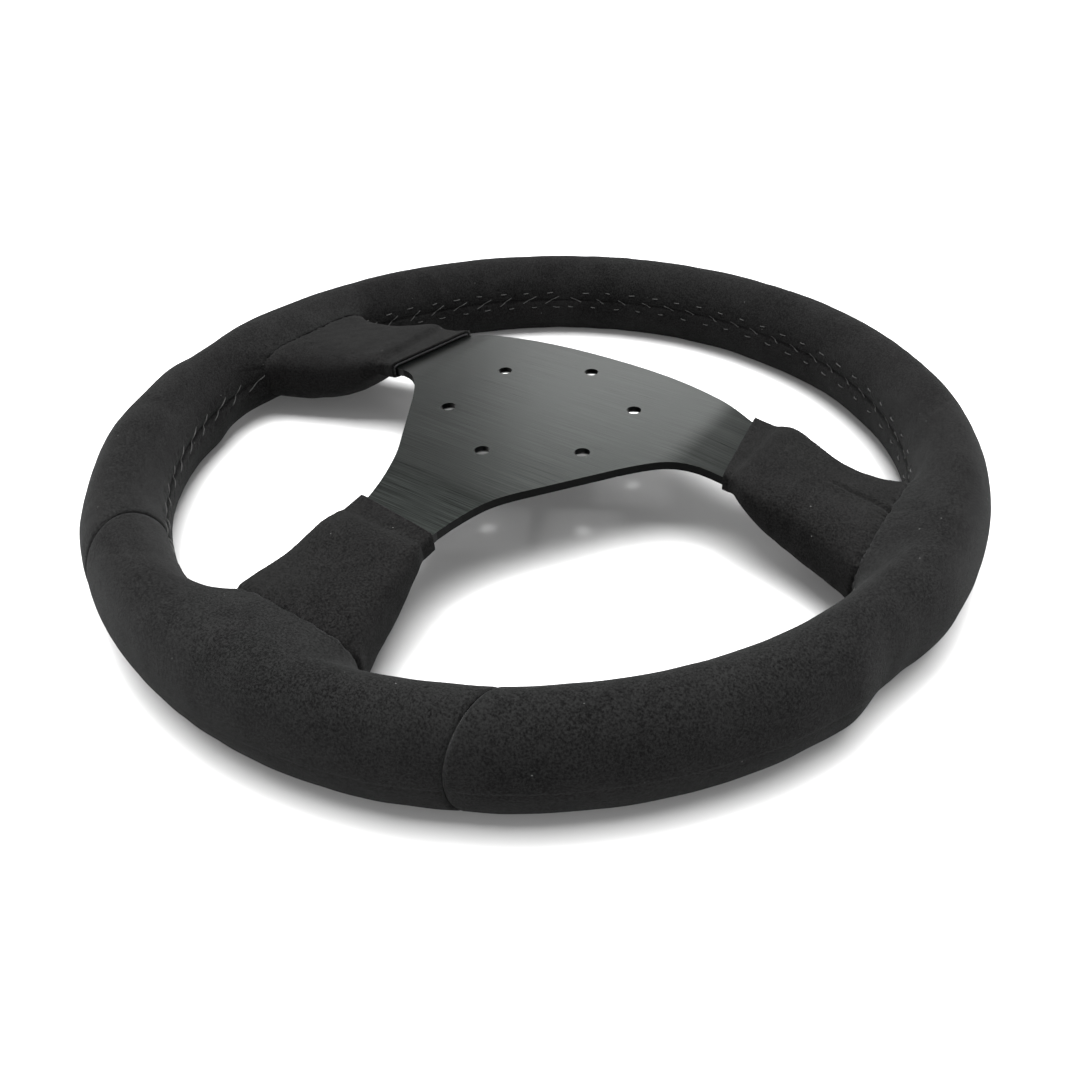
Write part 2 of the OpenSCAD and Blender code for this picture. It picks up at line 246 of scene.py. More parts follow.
def makeSuede(name, dark, light):
    material, nodes, links, shader = newMaterial(name)
    nap = addNode(nodes, "ShaderNodeGroup", node_tree=napGroup)
    mixer = addNode(nodes, "ShaderNodeMath", {1: suede["napShare"]}, operation="MULTIPLY_ADD")
    cloudPart = addNode(nodes, "ShaderNodeMath", {1: suede["cloudShare"]}, operation="MULTIPLY")
    tones = addTones(nodes, suede["tonePlaces"], (dark, light))
    withLint = addNode(nodes, "ShaderNodeMix", data_type="RGBA")
    withLint.inputs["B"].default_value = suede["lintColour"]
    height = addNode(nodes, "ShaderNodeBump",
                     {"Strength": suede["napStrength"], "Distance": suede["napHeight"]})
    links.new(nap.outputs["Clouds"], cloudPart.inputs[0])
    links.new(nap.outputs["Nap"], mixer.inputs[0])
    links.new(cloudPart.outputs["Value"], mixer.inputs[2])
    links.new(mixer.outputs["Value"], tones.inputs["Fac"])
    links.new(tones.outputs["Color"], withLint.inputs["A"])
    links.new(nap.outputs["Lint"], withLint.inputs["Factor"])
    links.new(withLint.outputs["Result"], shader.inputs["Base Color"])
    links.new(nap.outputs["Nap"], height.inputs["Height"])
    links.new(height.outputs["Normal"], shader.inputs["Normal"])
    shader.inputs["Roughness"].default_value = suede["roughness"]
    shader.inputs["Specular IOR Level"].default_value = suede["gloss"]
    shader.inputs["Sheen Weight"].default_value = suede["sheen"]
    shader.inputs["Sheen Roughness"].default_value = suede["sheenSpread"]
    shader.inputs["Sheen Tint"].default_value = suede["sheenTint"]
    return material


brushing = {
    "stretch": (6, 700, 6), "size": 4.0,       # the streaks run along x
    "tonePlaces": (0.37, 0.63),
    "dark": (0.0062, 0.0071, 0.0066, 1), "light": (0.0245, 0.0277, 0.0257, 1),
    "roughness": (0.27, 0.36), "strength": 0.3, "depth": 0.00006,
    # the edge colour is a painted shade on the plate's cut edges and other steep faces
    "paintedEdgeShade": (0.0035, 0.0037, 0.0036, 1), "edgeShadeTurn": (0.25, 0.8),
}


# Brushed metal: streaks along one direction over a thin dyed oxide.
def makeAnodised(name):
    material, nodes, links, shader = newMaterial(name)
    place = nodes.new("ShaderNodeTexCoord")
    stretch = addNode(nodes, "ShaderNodeMapping", {"Scale": brushing["stretch"]})
    streaks = addNode(nodes, "ShaderNodeTexNoise",
                      {"Scale": brushing["size"], "Detail": 5.0, "Roughness": 0.7})
    tones = addTones(nodes, brushing["tonePlaces"], (brushing["dark"], brushing["light"]))
    smoothest, roughest = brushing["roughness"]
    rough = addNode(nodes, "ShaderNodeMapRange", {"From Min": 0.3, "From Max": 0.7,
                                                  "To Min": smoothest, "To Max": roughest})
    height = addNode(nodes, "ShaderNodeBump",
                     {"Strength": brushing["strength"], "Distance": brushing["depth"]})
    links.new(place.outputs["Object"], stretch.inputs["Vector"])
    links.new(stretch.outputs["Vector"], streaks.inputs["Vector"])
    links.new(streaks.outputs["Fac"], tones.inputs["Fac"])
    links.new(streaks.outputs["Fac"], rough.inputs["Value"])
    # painted shade: steep faces such as the cut edges are painted darker than the brushed faces
    facing = nodes.new("ShaderNodeSeparateXYZ")
    steepest, flattest = brushing["edgeShadeTurn"]
    flat = addNode(nodes, "ShaderNodeMapRange", {"From Min": steepest, "From Max": flattest})
    upright = addNode(nodes, "ShaderNodeMath", operation="ABSOLUTE")
    withEdgeShade = addNode(nodes, "ShaderNodeMix", data_type="RGBA")
    withEdgeShade.inputs["A"].default_value = brushing["paintedEdgeShade"]
    links.new(place.outputs["Normal"], facing.inputs["Vector"])
    links.new(facing.outputs["Z"], upright.inputs[0])
    links.new(upright.outputs["Value"], flat.inputs["Value"])
    links.new(flat.outputs["Result"], withEdgeShade.inputs["Factor"])
    links.new(tones.outputs["Color"], withEdgeShade.inputs["B"])
    links.new(withEdgeShade.outputs["Result"], shader.inputs["Base Color"])
    links.new(rough.outputs["Result"], shader.inputs["Roughness"])
    links.new(streaks.outputs["Fac"], height.inputs["Height"])
    links.new(height.outputs["Normal"], shader.inputs["Normal"])
    shader.inputs["Metallic"].default_value = 1.0
    shader.inputs["Specular IOR Level"].default_value = 0.5
    return material


# Bare metal with handling marks in its gloss.
def makeMetal(name, colour, roughness, spread=0.1):
    material, nodes, links, shader = newMaterial(name)
    place = nodes.new("ShaderNodeTexCoord")
    marks = addNode(nodes, "ShaderNodeTexNoise", {"Scale": 240.0, "Detail": 4.0})
    rough = addNode(nodes, "ShaderNodeMapRange",
                    {"To Min": roughness - spread, "To Max": roughness + spread})
    height = addNode(nodes, "ShaderNodeBump", {"Strength": 0.2, "Distance": 0.0001})
    links.new(place.outputs["Object"], marks.inputs["Vector"])
    links.new(marks.outputs["Fac"], rough.inputs["Value"])
    links.new(rough.outputs["Result"], shader.inputs["Roughness"])
    links.new(marks.outputs["Fac"], height.inputs["Height"])
    links.new(height.outputs["Normal"], shader.inputs["Normal"])
    shader.inputs["Base Color"].default_value = colour
    shader.inputs["Metallic"].default_value = 1.0
    return material


# Foam, cloth or thread: a fine grain in colour and height.
def makeSoft(name, dark, light, grain, roughness=0.9, depth=0.0003):
    material, nodes, links, shader = newMaterial(name)
    place = nodes.new("ShaderNodeTexCoord")
    cells = addNode(nodes, "ShaderNodeTexNoise", {"Scale": grain, "Detail": 4.0, "Roughness": 0.7})
    tones = addTones(nodes, (0.35, 0.65), (dark, light))
    height = addNode(nodes, "ShaderNodeBump", {"Strength": 0.5, "Distance": depth})
    links.new(place.outputs["Object"], cells.inputs["Vector"])
    links.new(cells.outputs["Fac"], tones.inputs["Fac"])
    links.new(tones.outputs["Color"], shader.inputs["Base Color"])
    links.new(cells.outputs["Fac"], height.inputs["Height"])
    links.new(height.outputs["Normal"], shader.inputs["Normal"])
    shader.inputs["Roughness"].default_value = roughness
    shader.inputs["Specular IOR Level"].default_value = 0.2
    return material


rimSuede = makeSuede("black rim suede", (0.0008, 0.0008, 0.0008, 1), (0.0094, 0.0095, 0.0094, 1))
bootSuede = makeSuede("black boot suede", (0.0006, 0.0006, 0.0006, 1),
                      (0.0078, 0.0077, 0.0076, 1))
anodised = makeAnodised("brushed black anodised aluminium")
coreSteel = makeMetal("plain steel tube", (0.35, 0.35, 0.36, 1), 0.45)
rivetMetal = makeMetal("rivet aluminium", (0.72, 0.73, 0.74, 1), 0.35)
foam = makeSoft("moulded grey foam", (0.05, 0.05, 0.05, 1), (0.085, 0.085, 0.085, 1), 700)
backingCloth = makeSoft("grey backing cloth", (0.01, 0.01, 0.0105, 1),
                        (0.026, 0.026, 0.027, 1), 1600)
threadWax = makeSoft("dark waxed thread", (0.009, 0.009, 0.0088, 1), (0.045, 0.045, 0.044, 1),
                     2500, 0.55, 0.0001)

print("stage: rim")

coverLow, coverHigh = (np.array(corner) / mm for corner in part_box("rim_cover_upper"))
rim = {
    "outerRadius": coverHigh[1],
    "middleZ": (coverLow[2] + coverHigh[2]) / 2,
    "halfHeight": (coverHigh[2] - coverLow[2]) / 2,
    "halfWidth": 12.8,
    "skin": 1.2,
    "coreRadius": 7.05,
    "unevenness": 0.16, "unevenSize": 38, "ripple": 0.05, "rippleSize": 11,
    "seamRise": 0.95,        # the laced seam lies this far above the rim's middle
    "grooveDepth": 0.75, "grooveWidth": 0.7,
    "dipDepth": 0.35, "dipWidth": 2.8,
    "pitDepth": 0.35,
    "restDepth": 3.2,        # thumb rests
    "restShoulder": -41.0,
    "endRoll": 0.5, "endRollReach": 0.8, "endDip": 0.12, "endDipReach": 3.5,
    "outerFull": 0.45,       # the section is fuller than an oval outside and slacker inside
    "innerSlack": 0.4,
    "sectionPoints": 176, "foamPoints": 64, "foamRings": 360,
    "foamGap": 0.1,
}
rim["middleRadius"] = rim["outerRadius"] - rim["halfWidth"]
rim["innerRadius"] = rim["middleRadius"] - rim["halfWidth"]

# Each run of lacing: where it starts and ends, its number of stitches, how far each row's dash
# is shifted from its slanted thread, and how far that thread runs and rises.
lacing = {
    "rowHeight": 3.85,
    "dashLength": 3.7,
    "thread": 0.38,
    "sunk": 0.55,
    "wander": 0.6,
    "lengthSpread": (0.7, 1.15),
    "seed": 500,
    "runs": {
        "thread_upper_left": {"from": 14.5, "to": 120.8, "count": 21, "upper": -4.4, "lower": 3.4,
                              "run": 6.0, "rise": 2.5, "dashes": True},
        "thread_upper_right": {"from": 120.8, "to": 166.0, "count": 9, "upper": 1.5, "lower": -2.2,
                               "run": 8.6, "rise": -4.6, "dashes": True},
        "thread_lower_left": {"from": -73.5, "to": -9.5, "count": 12, "upper": -4.4, "lower": 3.4,
                              "run": 12.2, "rise": 6.4, "dashes": False},
        "thread_lower_right": {"from": 189.5, "to": 253.5, "count": 12, "upper": 4.4, "lower": -3.4,
                               "run": 12.2, "rise": -6.4, "dashes": False},
    },
}

# Where each boot meets the rim: the spoke's direction, the line where the two suedes tuck in,
# and how far the rim's suede is drawn in beyond it on the low, high, top and bottom sides.
collars = {
    "boot_left": {
        "spin": 0, "mirror": 1, "tuckU": 129.6, "tuckDepth": 0.75, "fold": 0.45, "seed": 5,
        "low": -21.0, "high": 36.0, "top": -2.6, "bottom": -23.4, "reach": (12, 13, 9, 7),
    },
    "boot_right": {
        "spin": 0, "mirror": -1, "tuckU": 129.6, "tuckDepth": 0.12, "fold": 0.0, "seed": 9,
        "low": -25.0, "high": 36.0, "top": -1.6, "bottom": -24.6, "reach": (22, 15, 12, 7),
    },
    "boot_lower": {
        "spin": -90, "mirror": 1, "tuckU": 127.0, "tuckDepth": 0.85, "fold": 0.0, "seed": 13,
        "low": -20.0, "high": 30.5, "top": -1.6, "bottom": -23.6, "reach": (24, 10, 11, 7),
    },
}
collarZone = {"fromU": 100, "radius": 148, "halfWidth": 60}
pucker = {"soft": 0.06, "softReach": 5.5, "sharp": 0.1, "sharpReach": 1.8, "wander": 0.16}
fullTurns = (-360, 0, 360)


# Wheel points to a spoke's own u, v, z, and back.
def toSpoke(points, collar):
    x, y, z = points[..., 0] * collar["mirror"], points[..., 1], points[..., 2]
    if collar["spin"]:
        return -y, x, z
    return x, y, z


def fromSpoke(u, v, z, collar):
    if collar["spin"]:
        return np.stack([v, -u, z], -1)
    return np.stack([u * collar["mirror"], v, z], -1)


# The middle and half size of a collar's outline, across the spoke and upright.
def outlineOf(collar):
    return ((collar["high"] + collar["low"]) / 2, (collar["high"] - collar["low"]) / 2,
            (collar["top"] + collar["bottom"]) / 2, (collar["top"] - collar["bottom"]) / 2)


# How far a point of the v, z plane lies outside a collar's outline, and its place round it.
def outlineDistance(v, z, collar, power=3.6):
    midV, halfV, midZ, halfZ = outlineOf(collar)
    dv, dz = v - midV, z - midZ
    q = ((np.abs(dv / halfV)) ** power + (np.abs(dz / halfZ)) ** power) ** (1 / power)
    q = np.maximum(q, 1e-6)
    away = np.hypot(dv, dz) * (1 - 1 / q)
    return away, np.arctan2(dz * halfV / halfZ, dv) * (halfV + halfZ) / 1.6


# How deep the thumb rests are pressed in below three and nine o'clock.
def restDepthAt(theta, phi):
    fromTop = np.degrees(np.abs(np.arctan2(np.cos(theta), -np.sin(theta))))
    below = fromTop - 90                     # 0 at three and nine
    lowEnd, deepEnd = ramp(below, -23.6, -17.6), 1 - ramp(below, -14.5, -4.5)
    far = 0.16 * ramp(below, -12, -5) * (1 - ramp(below, 0, 12))
    profile = lowEnd * deepEnd + far
    around = np.cos((phi - math.radians(rim["restShoulder"])) / 2) ** 2
    return rim["restDepth"] * profile * around


# One where the rim is laced, falling to nothing at the ends of each run.
def inRun(theta):
    degrees = np.degrees(theta)
    total = np.zeros_like(degrees)
    for run in lacing["runs"].values():
        for turn in fullTurns:
            total += ramp(degrees + turn, run["from"] - 1, run["from"] + 1) \
                * (1 - ramp(degrees + turn, run["to"] - 1, run["to"] + 1))
    return np.clip(total, 0, 1)


# Small pits where the needle went in, and the swell between them.
def stitchPits(theta, height):
    degrees = np.degrees(theta)
    pits = np.zeros_like(degrees)
    for run in lacing["runs"].values():
        pitch = (run["to"] - run["from"]) / run["count"]
        for turn in fullTurns:
            local = degrees + turn - run["from"]
            inside = (local > 0) & (local < run["to"] - run["from"])
            place = (np.mod(local, pitch) - pitch / 2) * math.radians(1) * rim["innerRadius"]
            for sign, shift in ((1, run["upper"]), (-1, run["lower"])):
                row = bump((height - sign * lacing["rowHeight"]) / 0.8)
                for end in (-0.5, 0.5):
                    pits += inside * row * bump((place - shift - end * lacing["dashLength"]) / 0.7)
            for end in (-0.5, 0.5):
                pits += 0.8 * inside * bump((place - end * run["run"]) / 0.8) \
                    * bump((height - end * run["rise"]) / 0.7)
    return pits


# Points of the rim's surface at ring angle theta and section angle phi, under a skin.
def rimPoints(theta, phi, skin=0.0, detail=True):
    acrossW, acrossH = np.cos(phi), np.sin(phi)
    width, tall = rim["halfWidth"], rim["halfHeight"]
    normalR, normalZ = acrossW / width, acrossH / tall
    length = np.hypot(normalR, normalZ)
    normalR, normalZ = normalR / length, normalZ / length
    fullness = rim["outerFull"] * bump((phi - math.radians(40)) / 0.8) \
        - rim["innerSlack"] * bump((phi - math.radians(128)) / 0.5)
    lift = fullness - restDepthAt(theta, phi) - skin
    radius = rim["middleRadius"] + width * acrossW
    z = rim["middleZ"] + tall * acrossH
    base = np.stack([radius * np.cos(theta), radius * np.sin(theta), z], -1)
    if detail:
        lift = lift + rim["unevenness"] * lumps(base, rim["unevenSize"], 3) \
            + rim["ripple"] * lumps(base, rim["rippleSize"], 4)
        height = z - rim["middleZ"] - rim["seamRise"]
        inner = ramp(-acrossW, 0.2, 0.7)
        laced = inRun(theta) * inner
        lift = lift - laced * (rim["grooveDepth"] * bump(height / rim["grooveWidth"])
                               + rim["dipDepth"] * bump(height / rim["dipWidth"]))
        lift = lift - rim["pitDepth"] * laced * stitchPits(theta, height)
    radius = radius + lift * normalR
    z = z + lift * normalZ
    points = np.stack([radius * np.cos(theta), radius * np.sin(theta), z], -1)
    if detail:
        for collar in collars.values():
            points = raiseCollar(points, collar, skin)
        points[..., 2] = np.maximum(points[..., 2], coverLow[2] + skin)   # flat where it rests
    return points


# Uneven gathers along a seam: some stand together, others die out.
def gathers(along, seed):
    rng = np.random.default_rng(seed)
    total = np.zeros_like(along)
    for size in (2.1, 2.9, 3.7, 5.3, 8.3):
        swell = 0.5 + 0.5 * np.sin(tau * along / (size * rng.uniform(3.5, 6)) + rng.uniform(0, tau))
        total += swell * np.sin(tau * along / size + rng.uniform(0, tau))
    return total


# Draws the rim's suede out to the line where it tucks in round a boot, with its puckers.
def raiseCollar(points, collar, skin):
    u, v, z = toSpoke(points, collar)
    near = (u > collarZone["fromU"]) & (np.hypot(u, v) < collarZone["radius"]) \
        & (np.abs(v) < collarZone["halfWidth"])
    away, along = outlineDistance(v, z, collar)
    lowReach, highReach, topReach, bottomReach = collar["reach"]
    midV, halfV, midZ, halfZ = outlineOf(collar)
    sideways = np.abs(v - midV) / (2 * halfV)
    upright = np.abs(z - midZ) / (2 * halfZ)
    share = sideways ** 2 / (sideways ** 2 + upright ** 2 + 1e-9)
    sideReach = lowReach + (highReach - lowReach) * ramp(v, collar["low"], collar["high"])
    endReach = bottomReach + (topReach - bottomReach) * ramp(z, collar["bottom"], collar["top"])
    reach = endReach + (sideReach - endReach) * share
    pull = np.where(away > 0, np.clip(1 - away / reach, 0, 1) ** 2.1, 1.0)
    wander = pucker["wander"] * gathers(along * 0.45, collar["seed"] + 1)
    target = collar["tuckU"] + wander + skin + np.clip(-away - 0.6, 0, 9) * 1.2
    creases = gathers(along, collar["seed"]) * ramp(away, 0.1, 1.2) \
        * (pucker["soft"] * bump(away / pucker["softReach"])
           + pucker["sharp"] * bump(away / pucker["sharpReach"]))
    moved = np.where(near, u + (np.minimum(target, u) - u) * pull + creases * near, u)
    result = fromSpoke(moved, v, z, collar)
    return np.where(near[..., None], result, points)


ringSpacing = {"coarse": 0.42, "fine": 0.24, "fineReach": 19, "spokes": (2, 178, -90)}


# Ring angles from start to end, closer together beside the boots.
def ringAngles(start, end):
    angles, angle = [start], start
    while angle < end:
        fromBoot = min(abs((angle - spoke + 180) % 360 - 180) for spoke in ringSpacing["spokes"])
        angle += ringSpacing["fine" if fromBoot < ringSpacing["fineReach"] else "coarse"]
        angles.append(angle)
    angles = np.array(angles)
    return start + (angles - start) * (end - start) / (angles[-1] - start)


# Cross seams: where each lies at the outside of the rim, and how much it leans on the way in.
crossSeams = {"left": {"at": -62.8, "bow": 2.7}, "right": {"at": -113.2, "bow": -3.4}}
seamGap = 0.06


def seamAngle(seam, phi):
    return seam["at"] + seam["bow"] * (1 - np.cos(phi))


# One suede sleeve of the rim, from one cross seam to the next. Its inner skin has fewer rings.
def rimPanel(name, start, end, turn=0):
    phi = np.arange(rim["sectionPoints"]) * tau / rim["sectionPoints"]
    low = seamAngle(start, phi) + seamGap
    high = seamAngle(end, phi) + turn - seamGap
    angles = ringAngles(low.mean(), high.mean())
    share = (angles - angles[0]) / (angles[-1] - angles[0])
    fewer = share[::4] if share[::4][-1] == share[-1] else np.append(share[::4], share[-1])
    skins = []
    for part, skin in ((share, 0.0), (fewer, rim["skin"])):
        theta = np.radians(low[None] + (high - low)[None] * part[:, None])
        skins.append(rimPoints(theta, np.broadcast_to(phi, theta.shape), skin))
        if skin == 0:
            skins[0] = rollEnds(skins[0], theta, low, high)
    points, quads = sleeve(*skins)
    piece = makeMesh(name, points, quads, rimSuede)
    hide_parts(name)


# The suede turns in where two panels meet.
def rollEnds(grid, theta, low, high):
    distance = np.minimum(theta - np.radians(low), np.radians(high) - theta) * rim["middleRadius"]
    toEdge = 1 - np.clip(distance / rim["endRollReach"], 0, 1)
    inset = rim["endRoll"] * (1 - np.sqrt(np.clip(1 - toEdge ** 2, 0, 1)))
    inset = inset + rim["endDip"] * bump(distance / rim["endDipReach"])
    centre = np.stack([rim["middleRadius"] * np.cos(theta), rim["middleRadius"] * np.sin(theta),
                       np.full(theta.shape, rim["middleZ"])], -1)
    outward = grid - centre
    outward /= np.linalg.norm(outward, axis=-1, keepdims=True)
    return grid - outward * inset[..., None]


rimPanel("rim_cover_upper", crossSeams["left"], crossSeams["right"], 360)
rimPanel("rim_cover_lower", crossSeams["right"], crossSeams["left"])


# The moulded foam: a ring under the suede, with the steel tube's bore through it.
def makeRimFoam():
    angles = np.arange(rim["foamRings"] + 1) * tau / rim["foamRings"]
    section = np.arange(rim["foamPoints"]) * tau / rim["foamPoints"]
    theta, phi = np.meshgrid(angles, section, indexing="ij")
    outer = rimPoints(theta, phi, rim["skin"] + rim["foamGap"])
    radius = rim["middleRadius"] + rim["coreRadius"] * np.cos(phi)
    bore = np.stack([radius * np.cos(theta), radius * np.sin(theta),
                     rim["middleZ"] + rim["coreRadius"] * np.sin(phi)], -1)
    points = np.concatenate([outer[:-1].reshape(-1, 3), bore[:-1].reshape(-1, 3)])
    size = len(points) // 2
    around = tubeQuads(len(angles), len(section)) % size
    quads = np.concatenate([around, around[:, ::-1] + size])
    piece = makeMesh("rim_foam", points, quads, foam)
    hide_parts("rim_foam")


makeRimFoam()

print("stage: boots")

plate = {
    "thickness": 3.0, "bendReach": 58.2, "slope": math.radians(7.79),
    "tip": 151.7, "tipWidth": 26.0, "tipRise": 8.0,
    "wrap": 2.3, "sideWrap": 1.6,            # how far a cuff stands off the plate
}
bootMake = {
    "points": 208, "step": 0.55, "skin": 1.2, "backingGap": 0.02, "padGap": 0.1,
    "bodyPower": 3.7, "cuffPower": 5.9,      # a cuff's section is squarer by the second
    "lump": 0.2, "lumpSize": 19, "crinkle": 0.05, "crinkleSize": 6, "grain": 0.03, "grainSize": 7,
    "creaseReach": 5.0,
    "foldAcross": 13.0, "foldFrom": 106, "foldLean": 0.17, "foldWidth": 9,
}


# The height of the plate's top face along a spoke.
def plateTop(u):
    return -np.maximum(u - plate["bendReach"], 0) * math.tan(plate["slope"])


# Each boot's stations: how far out each is, its low and high side, how high it stands over the
# plate's top and how far down it hangs.
boots = {
    "boot_left": {
        "cuff": 74.1, "skew": -0.16, "cuffEnd": 80.0, "edge": (-1.9, 34.8), "seed": 21,
        "reach": [80.0, 82.0, 86.0, 90.0, 94.0, 100.0, 106.0, 114.0, 122.0, 126.0, 129.6],
        "low":   [-3.6, -4.8, -6.8, -7.9, -8.6, -9.6, -10.9, -13.6, -17.0, -19.2, -21.4],
        "high":  [36.2, 38.6, 39.6, 38.6, 36.6, 33.8, 31.6, 30.6, 31.6, 33.6, 36.4],
        "rise":  [2.6, 4.6, 5.3, 5.3, 5.4, 5.8, 6.1, 6.5, 6.9, 7.2, 7.0],
        "under": [-6.6, -8.4, -11.4, -14.6, -17.2, -19.6, -21.0, -22.2, -23.0, -23.2, -23.6],
    },
    "boot_right": {
        "cuff": 69.8, "skew": -0.167, "cuffEnd": 79.0, "edge": (-1.9, 34.8), "seed": 31,
        "reach": [79.0, 82.0, 86.0, 90.0, 94.0, 100.0, 106.0, 114.0, 122.0, 126.0, 129.6],
        "low":   [-3.8, -5.6, -7.8, -9.6, -11.0, -13.0, -15.0, -18.4, -22.0, -23.8, -25.2],
        "high":  [36.4, 38.4, 39.0, 38.2, 36.6, 34.0, 32.0, 31.0, 32.0, 33.8, 36.4],
        "rise":  [2.6, 4.6, 5.3, 5.3, 5.4, 5.8, 6.3, 7.0, 7.8, 8.1, 8.0],
        "under": [-6.6, -8.8, -12.2, -15.8, -18.6, -21.4, -23.2, -24.6, -25.0, -24.8, -24.8],
    },
    "boot_lower": {
        "cuff": 78.5, "skew": 0.094, "cuffEnd": 86.0, "edge": (-15.5, 15.5), "seed": 41,
        "reach": [85.5, 88.0, 92.0, 97.0, 103.0, 110.0, 117.0, 122.5, 127.0],
        "low":   [-16.8, -18.6, -19.4, -19.6, -19.2, -19.0, -19.2, -19.8, -20.4],
        "high":  [16.8, 18.6, 19.6, 20.8, 22.0, 24.0, 26.4, 28.6, 31.0],
        "rise":  [2.6, 4.6, 5.3, 5.5, 5.9, 6.7, 7.6, 8.1, 7.8],
        "under": [-7.4, -9.8, -13.0, -16.6, -19.6, -21.8, -22.8, -23.4, -23.8],
    },
}


# Station values at each u, with the corners between stations softened.
def softened(u, places, values, spread=1.3, step=0.25, window=16):
    fineU = np.arange(u.min() - 8, u.max() + 8, step)
    raw = np.interp(fineU, places, values)
    kernel = np.exp(-(np.arange(-window, window + 1) * step / spread) ** 2 / 2)
    padded = np.pad(raw, window, mode="edge")
    return np.interp(u, fineU, np.convolve(padded, kernel / kernel.sum(), mode="valid"))


# A ring of points evenly spaced round a rounded box, from the middle of its top.
def roundedRing(midV, midZ, halfV, halfZ, power, count):
    angle = np.linspace(0, tau, 721) + tau / 4
    c, s = np.cos(angle), np.sin(angle)
    v = midV + halfV * np.sign(c) * np.abs(c) ** (2 / power)
    z = midZ + halfZ * np.sign(s) * np.abs(s) ** (2 / power)
    walked = np.concatenate([[0], np.cumsum(np.hypot(np.diff(v), np.diff(z)))])
    stops = np.arange(count) / count * walked[-1]
    return np.interp(stops, walked, v), np.interp(stops, walked, z)


# The plate's two edges along a spoke, read off the plate itself.
def plateEdges(collar):
    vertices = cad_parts["spoke_plate"].data.vertices
    points = np.empty(len(vertices) * 3)
    vertices.foreach_get("co", points)
    u, v, _ = toSpoke(points.reshape(-1, 3) / mm, collar)
    middle = plate["tipRise"] if not collar["spin"] else 0.0
    edges = []
    for side in (-1, 1):
        chosen = (u > 55) & (u < 150) & ((v - middle) * side > 2)
        order = np.argsort(u[chosen])
        edges.append((u[chosen][order], v[chosen][order]))
    return lambda where: [np.interp(where, *edge) for edge in edges]


# Runs the cuff's front edge slightly askew over the spoke, as it was glued.
def skewCuff(grid, boot, collar, edgesAt):
    u, v, z = grid[..., 0], grid[..., 1], grid[..., 2]
    front = boot["cuff"] + boot["skew"] * (v - sum(boot["edge"]) / 2)
    share = np.clip((boot["cuffEnd"] - u) / (boot["cuffEnd"] - boot["cuff"]), 0, 1)
    moved = u + (front - boot["cuff"]) * share
    (oldLow, oldHigh), (newLow, newHigh) = edgesAt(u), edgesAt(moved)
    middle = sum(boot["edge"]) / 2
    upper = ramp(v, middle - 4, middle + 4)
    shift = (newLow - oldLow) * (1 - upper) + (newHigh - oldHigh) * upper
    return np.stack([moved, v + shift, z + plateTop(moved) - plateTop(u)], -1)


# The rings of a boot's surface under a skin, from its cuff to inside the rim.
def bootGrid(name, skin=0.0, fromU=None):
    boot, collar = boots[name], collars[name]
    cuffEnd, tuck = boot["cuffEnd"], collar["tuckU"]
    start = boot["cuff"] if fromU is None else fromU
    u = np.concatenate([np.arange(start, tuck, bootMake["step"]),
                        tuck + np.array([0, 0.5, 1.2, 3.5, 7])])
    edgesAt = plateEdges(collar)
    inCuff = 1 - ramp(u, cuffEnd - 1.5, cuffEnd + 2.5)
    plateLow, plateHigh = edgesAt(u)
    low, high = (softened(u, boot["reach"], boot[key]) for key in ("low", "high"))
    tight = 1 - ramp(u, cuffEnd - 2.5, cuffEnd + 0.5)
    low += (plateLow - plate["sideWrap"] - low) * tight
    high += (plateHigh + plate["sideWrap"] - high) * tight
    rise = softened(u, boot["reach"], boot["rise"], 0.9)
    under = softened(u, boot["reach"], boot["under"])
    top = plateTop(u) + rise
    bottomCuff = plateTop(u) - plate["thickness"] - plate["sideWrap"]
    bottom = inCuff * bottomCuff + (1 - inCuff) * under
    power = bootMake["bodyPower"] + bootMake["cuffPower"] * inCuff
    tucked = ramp(u, tuck - 1.6, tuck + 0.8)
    rings = []
    for i, each in enumerate(u):
        shrink = skin + collar["tuckDepth"] * tucked[i]
        v, z = roundedRing((low[i] + high[i]) / 2, (top[i] + bottom[i]) / 2,
                           (high[i] - low[i]) / 2 - shrink, (top[i] - bottom[i]) / 2 - shrink,
                           power[i], bootMake["points"])
        rings.append(np.stack([np.full(bootMake["points"], each), v, z], -1))
    grid = skewCuff(np.array(rings), boot, collar, edgesAt)
    grid = wrinkleBoot(grid, boot, collar)
    return fromSpoke(grid[..., 0], grid[..., 1], grid[..., 2], collar)


# Unit normals of a grid of rings, looking outwards.
def gridNormals(grid):
    along = np.gradient(grid, axis=0)
    around = (np.roll(grid, -1, 1) - np.roll(grid, 1, 1))
    normal = np.cross(along, around)
    normal /= np.maximum(np.linalg.norm(normal, axis=-1, keepdims=True), 1e-9)
    inwards = np.mean(np.sum(normal * (grid - grid.mean(1, keepdims=True)), -1)) < 0
    return -normal if inwards else normal


